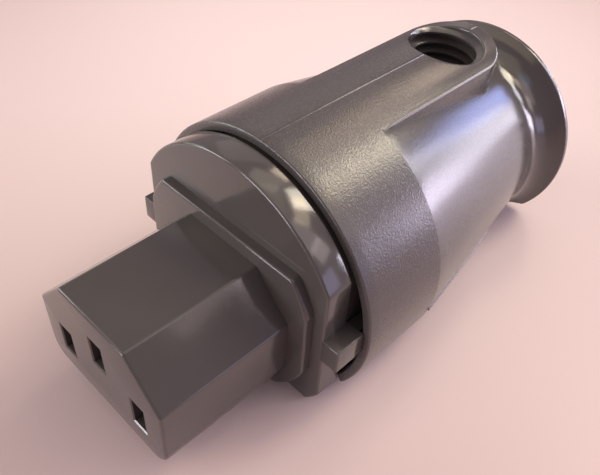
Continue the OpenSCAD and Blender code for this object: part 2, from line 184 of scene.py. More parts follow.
def plainMetal(name, settings):
    # Stamped or turned metal: drawn lines along the strip and a soft worn sheen
    material, tree, shader, position = newMaterial(name)
    shader.inputs["Metallic"].default_value = 1.0
    stretch = addNode(tree, "ShaderNodeMapping", {"Scale": settings["stretch"]}, {"Vector": position})
    lines = addNode(tree, "ShaderNodeTexNoise", {"Scale": settings["lineScale"], "Detail": 3.0},
                    {"Vector": stretch.outputs[0]})
    tone = addNode(tree, "ShaderNodeMix", {"data_type": "RGBA"}, {"Factor": lines.outputs["Fac"]})
    tone.inputs[6].default_value = linear(settings["dark"])
    tone.inputs[7].default_value = linear(settings["light"])
    tree.links.new(tone.outputs[2], shader.inputs["Base Color"])
    rough = addNode(tree, "ShaderNodeMapRange",
                    {"To Min": settings["roughLow"], "To Max": settings["roughHigh"]},
                    {"Value": lines.outputs["Fac"]})
    tree.links.new(rough.outputs[0], shader.inputs["Roughness"])
    bump = addNode(tree, "ShaderNodeBump", {"Distance": 0.00002, "Strength": 0.4},
                   {"Height": lines.outputs["Fac"]})
    tree.links.new(bump.outputs["Normal"], shader.inputs["Normal"])
    return material


shellSettings = {
    "dark": "#524e4c", "light": "#5a5653", "specular": 0.7, "cloudScale": 120.0,
    # the pit colour and its amount paint shade into the grain's pits
    "grainScale": 4200.0, "grainy": True, "paintedPitShadeColour": "#2c2928", "paintedPitShadeAmount": 0.5,
    "creaseX": xOf(37.35), "bossTopZ": spot(0, 0, 17.9)[2], "bossFadeX": xOf(48.0), "flareX": xOf(66.0),
    "grainRough": 0.14, "taperRough": 0.14, "flareRough": 0.08, "grainGlint": 0.14, "taperGlint": 0.08,
    "grainBump": 0.36, "taperBump": 0.12, "grainDepth": 0.00012,
}
carrierSettings = {
    "dark": "#4b4744", "light": "#524e4b", "specular": 0.7, "cloudScale": 140.0,
    "grainScale": 2200.0, "fineScale": 900.0, "grainy": False,
    "roughLow": 0.1, "roughHigh": 0.16, "grainBump": 0.08, "grainDepth": 0.00004,
}
coverSettings = dict(carrierSettings, dark="#2c2b2c", light="#333133", roughLow=0.4, roughHigh=0.5)
nylonSettings = dict(carrierSettings, dark="#141415", light="#1b1b1d", roughLow=0.3, roughHigh=0.42)

shellGrey = greyMoulding("spark_eroded_polyamide", shellSettings)
carrierGrey = greyMoulding("polished_moulded_polyamide", carrierSettings)
coverGrey = greyMoulding("dark_moulded_polyamide", coverSettings)
blackNylon = greyMoulding("black_moulded_nylon", nylonSettings)
stampedBrass = plainMetal("stamped_brass", {
    "dark": "#b0863f", "light": "#cfa75a", "stretch": (20.0, 300.0, 300.0), "lineScale": 10.0,
    "roughLow": 0.24, "roughHigh": 0.4})
zincSteel = plainMetal("zinc_plated_steel", {
    "dark": "#a3a5a8", "light": "#c2c4c6", "stretch": (1.0, 1.0, 1.0), "lineScale": 900.0,
    "roughLow": 0.28, "roughHigh": 0.42})
print("stage: materials ready")


# Drawing helpers

def meshPiece(name, rings, material, caps=False, closed=False):
    # rings of (at, y, h) points, joined ring to ring
    count = len(rings[0])
    points = [spot(*p) for ring in rings for p in ring]
    faces = []
    last = len(rings) if closed else len(rings) - 1
    for i in range(last):
        j = (i + 1) % len(rings)
        for k in range(count):
            m = (k + 1) % count
            faces.append((i * count + k, i * count + m, j * count + m, j * count + k))
    if caps:
        faces.append(tuple(range(count)))
        faces.append(tuple((len(rings) - 1) * count + k for k in reversed(range(count))))
    mesh = bpy.data.meshes.new(name)
    mesh.from_pydata(points, [], faces)
    return tidyMesh(name, mesh, material)


def tidyMesh(name, mesh, material, angle=32):
    work = bmesh.new()
    work.from_mesh(mesh)
    bmesh.ops.remove_doubles(work, verts=work.verts, dist=2e-7)
    bmesh.ops.dissolve_degenerate(work, edges=work.edges, dist=1e-7)
    bmesh.ops.recalc_face_normals(work, faces=work.faces)
    work.to_mesh(mesh)
    work.free()
    mesh.materials.clear()
    mesh.materials.append(material)
    mesh.shade_smooth()
    mesh.set_sharp_from_angle(angle=math.radians(angle))
    piece = bpy.data.objects.new(name, mesh)
    bpy.context.scene.collection.objects.link(piece)
    return piece


def applied(piece, name=None):
    # The piece with its modifiers worked out, as a plain mesh
    graph = bpy.context.evaluated_depsgraph_get()
    mesh = bpy.data.meshes.new_from_object(piece.evaluated_get(graph))
    material = piece.data.materials[0] if piece.data.materials else None
    old = piece.data
    piece.modifiers.clear()
    piece.data = mesh
    if material and not mesh.materials:
        mesh.materials.append(material)
    if name:
        piece.name = name
    if old.users == 0:
        bpy.data.meshes.remove(old)
    return piece


def cutWith(piece, cutters, operation="DIFFERENCE"):
    for cutter in cutters:
        change = piece.modifiers.new("cut", "BOOLEAN")
        change.operation = operation
        change.solver = "EXACT"
        change.object = cutter
        applied(piece)
        bpy.data.objects.remove(cutter)
    piece.data.shade_smooth()
    piece.data.set_sharp_from_angle(angle=math.radians(32))
    return piece


def joined(name, pieces):
    work = bmesh.new()
    for piece in pieces:
        work.from_mesh(piece.data)
    mesh = bpy.data.meshes.new(name)
    work.to_mesh(mesh)
    work.free()
    mesh.materials.append(pieces[0].data.materials[0])
    mesh.shade_smooth()
    mesh.set_sharp_from_angle(angle=math.radians(32))
    for piece in pieces:
        bpy.data.objects.remove(piece)
    whole = bpy.data.objects.new(name, mesh)
    bpy.context.scene.collection.objects.link(whole)
    return whole


def rounded(points, closed=True, steps=6):
    # Polygon or path of (x, y, radius) with its corners rounded
    result = []
    count = len(points)
    for i, (x, y, radius) in enumerate(points):
        if radius <= 0 or (not closed and i in (0, count - 1)):
            result.append((x, y))
            continue
        here = Vector((x, y))
        before = Vector(points[i - 1][:2]) - here
        after = Vector(points[(i + 1) % count][:2]) - here
        half = before.angle(after) / 2
        reach = radius / math.tan(half)
        start = here + before.normalized() * reach
        end = here + after.normalized() * reach
        middle = here + (before.normalized() + after.normalized()).normalized() * (radius / math.sin(half))
        a0 = math.atan2(start.y - middle.y, start.x - middle.x)
        a1 = math.atan2(end.y - middle.y, end.x - middle.x)
        turn = (a1 - a0 + math.pi) % (2 * math.pi) - math.pi
        for k in range(steps + 1):
            a = a0 + turn * k / steps
            result.append((middle.x + radius * math.cos(a), middle.y + radius * math.sin(a)))
    return result


def inset(outline, amount):
    # Outline moved inwards; it runs anticlockwise
    result = []
    count = len(outline)
    for i in range(count):
        a, b, c = (Vector(outline[j % count]) for j in (i - 1, i, i + 1))
        n1 = Vector((-(b - a).y, (b - a).x)).normalized()
        n2 = Vector((-(c - b).y, (c - b).x)).normalized()
        n = (n1 + n2).normalized()
        result.append(tuple(b + n * (amount / max(0.3, n.dot(n1)))))
    return result


def slab(name, outline, front, rear, material, frontEdge=0.0, rearEdge=0.0, steps=4):
    # Outline of (y, h) carried from front to rear, with rounded rims
    rings = []
    if frontEdge:
        for k in range(steps + 1):
            a = math.pi / 2 * k / steps
            ring = inset(outline, frontEdge * (1 - math.sin(a)))
            rings.append([(front + frontEdge * (1 - math.cos(a)), y, h) for y, h in ring])
    else:
        rings.append([(front, y, h) for y, h in outline])
    if rearEdge:
        for k in range(steps + 1):
            a = math.pi / 2 * k / steps
            ring = inset(outline, rearEdge * (1 - math.cos(a)))
            rings.append([(rear - rearEdge * (1 - math.sin(a)), y, h) for y, h in ring])
    else:
        rings.append([(rear, y, h) for y, h in outline])
    return meshPiece(name, rings, material, caps=True)


def block(name, low, high, material):
    # Box between two (at, y, h) corners
    outline = [(low[1], low[2]), (high[1], low[2]), (high[1], high[2]), (low[1], high[2])]
    return slab(name, outline, low[0], high[0], material)


def tube(name, at, y, radius, low, high, material, sides=96):
    # Upright cylinder
    turn = 2 * math.pi / sides
    rings = [[(at + radius * math.cos(turn * k), y + radius * math.sin(turn * k), h)
              for k in range(sides)] for h in (low, high)]
    return meshPiece(name, rings, material, caps=True)


def flattedDisc(radius, halfWidth, bottom, top=None, corner=0.6, step=3.0):
    # Round outline with two side flats, a flat underside and, on the plate, a flat top
    sideAngle = math.degrees(math.acos(halfWidth / radius))
    lowAngle = math.degrees(math.asin(bottom / radius))
    points = []

    def arcPoints(a0, a1):
        count = max(2, int(abs(a1 - a0) / step))
        for k in range(1, count):
            a = math.radians(a0 + (a1 - a0) * k / count)
            points.append((radius * math.cos(a), radius * math.sin(a), 0))

    def cornerAt(angle):
        a = math.radians(angle)
        points.append((radius * math.cos(a), radius * math.sin(a), corner))

    topAngle = math.degrees(math.asin(top / radius)) if top else 90.0
    cornerAt(-lowAngle)
    arcPoints(-lowAngle, -sideAngle)
    cornerAt(-sideAngle)
    cornerAt(sideAngle)
    arcPoints(sideAngle, topAngle)
    if top:
        cornerAt(topAngle)
        cornerAt(180 - topAngle)
        arcPoints(180 - topAngle, 180 - sideAngle)
    else:
        points.append((0.0, radius, 0))
        arcPoints(90, 180 - sideAngle)
    cornerAt(180 - sideAngle)
    cornerAt(180 + sideAngle)
    arcPoints(180 + sideAngle, 180 + lowAngle)
    cornerAt(180 + lowAngle)
    return rounded(points, steps=4)


# Contact carrier

carrierSizes = {
    "noseLength": 18.2, "halfWidth": 11.5, "topHalf": 6.0, "top": 10.2, "shoulder": 4.5, "bottom": -5.6,
    "rise": 2.5, "lowCorner": 2.6, "edge": 0.4, "faceWall": 1.6,
    "slot": (2.3, 4.5), "chamber": (4.1, 5.7), "chamberEnd": 16.5,
    "poles": ((-7.0, 0.0), (7.0, 0.0), (0.0, 4.0)),
    "plateRadius": 15.0, "plateHalf": 14.15, "plateTop": 9.6, "under": 11.65, "plateEdge": 0.3,
    "flangeFront": 19.55, "flangeBack": 23.4, "flangeRadius": 18.3, "flangeHalf": 15.9, "flangeEdge": 0.35,
    "lugHalf": 18.25, "lugHeight": 3.6, "rim": 24.0,
    "bodyEnd": 34.0, "bodyRadius": 17.6, "bodyHalf": 15.5, "bodyUnder": 8.8,
}


def buildCarrier(s):
    rise = s["rise"]
    nose = rounded([
        (s["halfWidth"], s["bottom"] - rise, s["lowCorner"]), (s["halfWidth"], s["shoulder"] - rise, 0.5),
        (s["topHalf"], s["top"] - rise, 0.5), (-s["topHalf"], s["top"] - rise, 0.5),
        (-s["halfWidth"], s["shoulder"] - rise, 0.5), (-s["halfWidth"], s["bottom"] - rise, s["lowCorner"])])
    parts = [slab("nose", nose, 0, s["noseLength"] + 0.3, carrierGrey, frontEdge=s["edge"])]
    cutters = []
    for y, z in s["poles"]:
        w, t = s["slot"][0] / 2, s["slot"][1] / 2
        mid = z - rise
        rings = []
        for at, more in ((-0.5, 0.15), (0.0, 0.15), (0.15, 0.0), (s["faceWall"] + 0.5, 0.0)):
            a, b = w + more, t + more
            rings.append([(at, y - a, mid - b), (at, y + a, mid - b),
                          (at, y + a, mid + b), (at, y - a, mid + b)])
        cutters.append(meshPiece("slotCut", rings, carrierGrey, caps=True))
        w, t = s["chamber"][0] / 2, s["chamber"][1] / 2
        cutters.append(block("chamberCut", (s["faceWall"], y - w, mid - t),
                             (s["chamberEnd"], y + w, mid + t), carrierGrey))
    cutWith(parts[0], cutters)

    plate = flattedDisc(s["plateRadius"], s["plateHalf"], s["under"], s["plateTop"], corner=0.9)
    parts.append(slab("plate", plate, s["noseLength"], s["flangeFront"] + 0.3, carrierGrey,
                      frontEdge=s["plateEdge"]))
    flange = flattedDisc(s["flangeRadius"], s["flangeHalf"], s["under"], corner=0.5, step=1.5)
    parts.append(slab("flange", flange, s["flangeFront"], s["flangeBack"], carrierGrey,
                      frontEdge=s["flangeEdge"], rearEdge=0.25))
    body = flattedDisc(s["bodyRadius"], s["bodyHalf"], s["bodyUnder"], corner=0.3)
    parts.append(slab("core", body, s["flangeBack"] - 0.2, s["bodyEnd"], carrierGrey))
    half = s["lugHeight"] / 2
    for side in (1, -1):
        lug = rounded([(s["flangeHalf"] - 0.3, -half, 0), (s["lugHalf"], -half, 0.2),
                       (s["lugHalf"], half, 0.2), (s["flangeHalf"] - 0.3, half, 0)])
        if side < 0:
            lug = [(-y, h) for y, h in reversed(lug)]
        parts.append(slab("lug", lug, s["flangeFront"], s["rim"] - 0.05, carrierGrey,
                          frontEdge=0.2, rearEdge=0.1))
        arm = [(22.0, 15.6), (31.5, 15.6), (31.5, 17.0), (29.5, 18.2), (29.5, 17.4), (22.0, 17.4)]
        rings = [[(a, side * y, h) for a, y in arm] for h in (0.3 - half, half - 0.3)]
        parts.append(meshPiece("arm", rings, carrierGrey, caps=True))
    return joined("carrierBody", parts)


carrierBody = buildCarrier(carrierSizes)
print("stage: contact carrier")


# Rear shell

shellSizes = {
    "rim": 24.0, "crease": 37.35, "neck": 67.4, "radius": 19.2, "neckRadius": 14.0, "bow": 0.15,
    "wall": 1.3,
    "flareRadius": 5.5, "flareAngle": 60.0, "lip": 1.0, "under": 10.4, "floor": 9.1,
    "bulkhead": 2.0, "cableHole": 5.6, "segments": 512, "cornerSoftness": 0.7,
    "notchLength": 3.2, "boreAt": 59.3, "boreRadius": 5.15,
    "bossHalf": 6.95, "bossEndShift": 0.5, "bossEdge": 0.35, "towerLow": 5.3, "towerRadius": 6.6,
    "seamWidth": 0.2, "seamHeight": 0.13, "sideSeam": -13.0,
    "sideSeamEnd": 56.0, "sideSeamWidth": 0.24, "sideSeamHeight": 0.18,
}


def taperRadius(s, q):
    t = q / (s["neck"] - s["crease"])
    return s["radius"] - (s["radius"] - s["neckRadius"]) * t + 4 * s["bow"] * t * (1 - t)


def skinRadius(s, at):
    return s["radius"] if at <= s["crease"] else taperRadius(s, min(at, s["neck"]) - s["crease"])


def shellProfile(s):
    # Section of the shell as (at, radius, level of the flat underside)
    under, floor = s["under"], s["floor"]
    angle = math.atan((s["radius"] - s["neckRadius"]) / (s["neck"] - s["crease"]))
    centreR = s["neckRadius"] + s["flareRadius"] * math.cos(angle)
    centreAt = s["neck"] + s["flareRadius"] * math.sin(angle)
    end = math.radians(s["flareAngle"])
    lipR = centreR - s["flareRadius"] * math.cos(end)
    lipAt = centreAt + s["flareRadius"] * math.sin(end)
    backAt = lipAt + s["lip"]
    inner = s["flareRadius"] + s["wall"]
    innerEnd = math.asin((backAt - centreAt) / inner)
    slant = s["wall"] / math.cos(angle)

    path = []
    for at, r in rounded([(s["rim"], s["radius"] - s["wall"] / 2, 0), (s["rim"], s["radius"], 0.25),
                          (s["crease"], s["radius"], 0)], closed=False, steps=4):
        path.append((at, r, under))
    path.pop()
    for at in (26, 29, 32, 35, 36.5, 37.2, 37.32):
        path.append((at, s["radius"], under))
    steps = 20
    for k in range(steps + 1):
        q = 0.03 + (s["neck"] - s["crease"] - 0.03) * k / steps
        path.append((s["crease"] + q, taperRadius(s, q), under))
    steps = 14
    for k in range(1, steps + 1):
        a = -angle + (end + angle) * k / steps
        path.append((centreAt + s["flareRadius"] * math.sin(a),
                     centreR - s["flareRadius"] * math.cos(a), under))
    last = path.pop()
    before = path[-1]
    lip = rounded([(before[0], before[1], 0), (last[0], last[1], 0.28), (backAt, lipR, 0.4),
                   (backAt, centreR - inner * math.cos(innerEnd), 0.2),
                   (centreAt + inner * math.sin(innerEnd - 0.2),
                    centreR - inner * math.cos(innerEnd - 0.2), 0)],
                  closed=False, steps=4)
    for at, r in lip[1:-1]:
        share = min(1.0, max(0.0, (lipR - r) / 0.8))
        path.append((at, r, under + (floor - under) * share))
    steps = 10
    for k in range(1, steps + 1):
        a = innerEnd * (1 - k / steps)
        if a > innerEnd - 0.2:
            continue
        path.append((centreAt + inner * math.sin(a), centreR - inner * math.cos(a), floor))
    hole, rear, front = s["cableHole"], s["neck"], s["neck"] - s["bulkhead"]
    path.append((rear, s["neckRadius"] - s["wall"], floor))
    path += [(rear, hole + 0.3, floor), (rear - 0.3, hole, floor), (front + 0.3, hole, floor),
             (front, hole + 0.3, floor)]
    steps = 12
    for k in range(steps + 1):
        q = (front - s["crease"]) * (1 - k / steps)
        path.append((s["crease"] + q, taperRadius(s, q) - slant, floor))
    path += [(30.0, s["radius"] - s["wall"], floor), (s["rim"] + 0.2, s["radius"] - s["wall"], floor),
             (s["rim"], s["radius"] - s["wall"] + 0.2, floor)]
    return path


def revolveTree():
    # Turns a profile line about the axis and flattens the underside at each point's own level.
    # The profile lies in X (length) and Z (radius); its level is kept in Y.
    tree = bpy.data.node_groups.new("revolveWithFlat", "GeometryNodeTree")
    face = tree.interface
    face.new_socket("Profile", in_out="INPUT", socket_type="NodeSocketGeometry")
    face.new_socket("Segments", in_out="INPUT", socket_type="NodeSocketInt").default_value = 256
    face.new_socket("Axis Height", in_out="INPUT", socket_type="NodeSocketFloat")
    face.new_socket("Corner Softness", in_out="INPUT", socket_type="NodeSocketFloat")
    face.new_socket("Material", in_out="INPUT", socket_type="NodeSocketMaterial")
    face.new_socket("Mesh", in_out="OUTPUT", socket_type="NodeSocketGeometry")
    start = addNode(tree, "NodeGroupInput")
    # A copy of the profile on each ray, joined up by their order: points are counted along the
    # profile first, then round the axis
    size = addNode(tree, "GeometryNodeAttributeDomainSize", {"component": "MESH"},
                   {"Geometry": start.outputs["Profile"]})
    grid = addNode(tree, "GeometryNodeMeshGrid", {"Size X": 1.0, "Size Y": 1.0},
                   {"Vertices X": start.outputs["Segments"], "Vertices Y": size.outputs["Point Count"]})
    order = addNode(tree, "GeometryNodeInputIndex")
    along = addNode(tree, "ShaderNodeMath", {"operation": "MODULO"},
                    {0: order.outputs[0], 1: size.outputs["Point Count"]})
    row = addNode(tree, "ShaderNodeMath", {"operation": "DIVIDE"},
                  {0: order.outputs[0], 1: size.outputs["Point Count"]})
    row = addNode(tree, "ShaderNodeMath", {"operation": "FLOOR"}, {0: row.outputs[0]})
    lessOne = addNode(tree, "ShaderNodeMath", {"operation": "SUBTRACT", 1: 1.0},
                      {0: start.outputs["Segments"]})
    share = addNode(tree, "ShaderNodeMath", {"operation": "DIVIDE"},
                    {0: row.outputs[0], 1: lessOne.outputs[0]})
    turn = addNode(tree, "ShaderNodeMath", {"operation": "MULTIPLY", 1: 2 * math.pi}, {0: share.outputs[0]})
    where = addNode(tree, "GeometryNodeInputPosition")
    pick = addNode(tree, "GeometryNodeSampleIndex", {"data_type": "FLOAT_VECTOR", "domain": "POINT"},
                   {"Geometry": start.outputs["Profile"], "Value": where.outputs[0],
                    "Index": along.outputs[0]})
    part = addNode(tree, "ShaderNodeSeparateXYZ", {}, {"Vector": pick.outputs["Value"]})
    cosine = addNode(tree, "ShaderNodeMath", {"operation": "COSINE"}, {0: turn.outputs[0]})
    sine = addNode(tree, "ShaderNodeMath", {"operation": "SINE"}, {0: turn.outputs[0]})
    across = addNode(tree, "ShaderNodeMath", {"operation": "MULTIPLY"},
                     {0: part.outputs["Z"], 1: cosine.outputs[0]})
    up = addNode(tree, "ShaderNodeMath", {"operation": "MULTIPLY"},
                 {0: part.outputs["Z"], 1: sine.outputs[0]})
    level = addNode(tree, "ShaderNodeMath", {"operation": "MULTIPLY", 1: -1.0}, {0: part.outputs["Y"]})
    flat = addNode(tree, "ShaderNodeMath", {"operation": "SMOOTH_MAX"},
                   {0: up.outputs[0], 1: level.outputs[0], 2: start.outputs["Corner Softness"]})
    height = addNode(tree, "ShaderNodeMath", {"operation": "ADD"},
                     {0: flat.outputs[0], 1: start.outputs["Axis Height"]})
    point = addNode(tree, "ShaderNodeCombineXYZ", {},
                    {"X": part.outputs["X"], "Y": across.outputs[0], "Z": height.outputs[0]})
    moved = addNode(tree, "GeometryNodeSetPosition", {},
                    {"Geometry": grid.outputs["Mesh"], "Position": point.outputs[0]})
    merged = addNode(tree, "GeometryNodeMergeByDistance", {"Distance": 2e-7},
                     {"Geometry": moved.outputs[0]})
    real = addNode(tree, "GeometryNodeRealizeInstances", {}, {"Geometry": merged.outputs[0]})
    dressed = addNode(tree, "GeometryNodeSetMaterial", {},
                      {"Geometry": real.outputs[0], "Material": start.outputs["Material"]})
    addNode(tree, "NodeGroupOutput", {}, {"Mesh": dressed.outputs[0]})
    return tree


def grown(name, mesh, tree, values):
    # Runs a node tree on a mesh and keeps the plain result
    piece = bpy.data.objects.new(name, mesh)
    bpy.context.scene.collection.objects.link(piece)
    change = piece.modifiers.new("shape", "NODES")
    change.node_group = tree
    for item in tree.interface.items_tree:
        if item.item_type == "SOCKET" and item.in_out == "INPUT" and item.name in values:
            change[item.identifier] = values[item.name]
    applied(piece)
    return piece


def buildSkin(s):
    path = shellProfile(s)
    mesh = bpy.data.meshes.new("shellProfile")
    points = [(xOf(at), level / 1000, r / 1000) for at, r, level in path]
    points.append(points[0])
    mesh.from_pydata(points, [(i, i + 1) for i in range(len(points) - 1)], [])
    skin = grown("skin", mesh, revolveTree(), {
        "Segments": s["segments"] + 1, "Axis Height": place["axisZ"] / 1000,
        "Corner Softness": s["cornerSoftness"] / 1000, "Material": shellGrey})
    data = skin.data
    bpy.data.objects.remove(skin)
    return tidyMesh("skin", data, shellGrey)


def buildBoss(s):
    # Boss along the top and the tower round the threaded hole, ring by ring from the hole outwards
    centre, half, edge = s["boreAt"], s["bossHalf"], s["bossEdge"]
    endAt, bore = s["boreAt"] + s["bossEndShift"], s["boreRadius"]
    outline = []
    length = endAt - s["crease"]
    for k in range(61):
        t = k / 60
        outline.append((s["crease"] + length * (1 - (1 - t) ** 1.0), -half))
    for k in range(1, 60):
        a = -math.pi / 2 + math.pi * k / 60
        outline.append((endAt + half * math.cos(a), half * math.sin(a)))
    for k in range(61):
        outline.append((endAt - length * k / 60, half))
    for k in range(1, 30):
        outline.append((s["crease"], half - 2 * half * k / 30))
    count = len(outline)
    front = count - 29

    def topAt(y):
        return math.sqrt(s["radius"] ** 2 - y * y)

    def skinAt(at, y):
        return math.sqrt(skinRadius(s, at) ** 2 - y * y)

    def normalAt(i):
        at, y = outline[i]
        if i >= front:
            return (0.0, 0.0)
        if 60 < i < 120:
            return ((at - endAt) / half, y / half)
        return (0.0, -1.0 if i <= 60 else 1.0)

    softness = []
    for i, (at, y) in enumerate(outline):
        rise = topAt(y) - skinAt(at, y)
        softness.append(0.0 if i >= front else min(edge, 0.6 * rise))

    def outer(i, amount, down):
        at, y = outline[i]
        n = normalAt(i)
        a, b = at - n[0] * amount, y - n[1] * amount
        return (a, b, topAt(b) - down)

    angles = [math.atan2(y, at - centre) for at, y in outline]

    def around(i, radius):
        return (centre + radius * math.cos(angles[i]), radius * math.sin(angles[i]))

    rings = []
    soft = 0.3
    rings.append([(*around(i, s["towerRadius"]), s["towerLow"]) for i in range(count)])
    rings.append([(*around(i, bore + 0.2), s["towerLow"]) for i in range(count)])
    rings.append([(*around(i, bore), s["towerLow"] + 0.2) for i in range(count)])
    for k in range(6):
        a = math.pi / 2 * k / 5
        ring = []
        for i in range(count):
            p = around(i, bore + soft * (1 - math.cos(a)))
            q = around(i, bore + soft)
            ring.append((p[0], p[1], topAt(q[1]) - soft * (1 - math.sin(a))))
        rings.append(ring)
    steps = 18
    for k in range(1, steps):
        t = k / steps
        ring = []
        for i in range(count):
            p, q = around(i, bore + soft), outer(i, softness[i], 0)
            a, b = p[0] + (q[0] - p[0]) * t, p[1] + (q[1] - p[1]) * t
            ring.append((a, b, topAt(b)))
        rings.append(ring)
    for k in range(6):
        a = math.pi / 2 * k / 5
        ring = []
        for i in range(count):
            top = outer(i, softness[i], 0)
            p = outer(i, softness[i] * (1 - math.sin(a)), 0)
            ring.append((p[0], p[1], top[2] - softness[i] * (1 - math.cos(a))))
        rings.append(ring)
    rings.append([(outline[i][0], outline[i][1], skinAt(*outline[i]) - 0.6) for i in range(count)])
    ring = []
    for i in range(count):
        p = around(i, s["towerRadius"])
        ring.append((p[0], p[1], skinAt(*p) - 0.6))
    rings.append(ring)
    return meshPiece("boss", rings, shellGrey, closed=True)


def buildPartingLine(s):
    # Fine raised witness line of the tool along the top, on both sides of the hole
    pieces = []
    hole, r = s["boreRadius"] + 0.32, s["radius"]
    end = s["boreAt"] + s["bossEndShift"] + s["bossHalf"] - 0.4
    for a0, a1 in ((s["rim"] + 0.12, s["boreAt"] - hole), (s["boreAt"] + hole, end)):
        rings = []
        for at, size in ((a0, 0.3), (a0 + 0.15, 1.0), (a1 - 0.15, 1.0), (a1, 0.3)):
            ring = [(at, -s["seamWidth"], r - 0.3), (at, s["seamWidth"], r - 0.3)]
            for k in range(9):
                a = math.pi * k / 8
                high = s["seamHeight"] * size * math.sin(a)
                ring.append((at, s["seamWidth"] * math.cos(a), r - 0.02 + high))
            rings.append(ring)
        pieces.append(meshPiece("line", rings, shellGrey, caps=True))
    # The same line low on each side of the taper
    angle = math.radians(s["sideSeam"])
    for side in (1, -1):
        rings = []
        for k in range(13):
            at = s["crease"] + 0.15 + (s["sideSeamEnd"] - s["crease"] - 0.15) * k / 12
            size = min(1.0, (12 - k) / 2 + 0.15)
            r = taperRadius(s, at - s["crease"])
            ring = []
            bead = [(math.cos(math.pi * m / 8), math.sin(math.pi * m / 8) * size) for m in range(9)]
            for along, out in [(-1.0, -0.25), (1.0, -0.25)] + bead:
                high = s["sideSeamHeight"] * out if out >= 0 else out
                a = angle + along * s["sideSeamWidth"] / r
                ring.append((at, side * (r + high) * math.cos(a), (r + high) * math.sin(a)))
            rings.append(ring)
        pieces.append(meshPiece("sideLine", rings, shellGrey, caps=True))
    return pieces


def buildShell(s):
    skin = buildSkin(s)
    hole = tube("boreCut", s["boreAt"], 0, 6.0, 2.0, 25.0, shellGrey)
    low = math.sqrt(s["radius"] ** 2 - s["under"] ** 2) - 0.1
    top, slope = 1.9, 0.6
    rings = []
    for at in (s["rim"] - 1, s["rim"] + s["notchLength"]):
        rings.append([(at, -low - slope, -s["under"] - 1), (at, low + slope, -s["under"] - 1),
                      (at, low - slope * top, -s["under"] + top), (at, -low + slope * top, -s["under"] + top)])
    notch = meshPiece("notchCut", rings, shellGrey, caps=True)
    cutWith(skin, [hole, notch])
    # Cradle under the cable
    trough = [(-7.0, -3.2), (-7.0, -9.3), (7.0, -9.3), (7.0, -3.2), (5.6, -3.2)]
    for k in range(1, 24):
        a = math.radians(-36.7 - 106.6 * k / 24)
        trough.append((7 * math.cos(a), 1.1 + 7 * math.sin(a)))
    trough.append((-5.6, -3.2))
    cradle = slab("cradle", trough, 54.0, 65.6, shellGrey)
    return joined("shellBody", [skin, buildBoss(s), cradle] + buildPartingLine(s))


shellBody = buildShell(shellSizes)
print("stage: rear shell")


# Threads

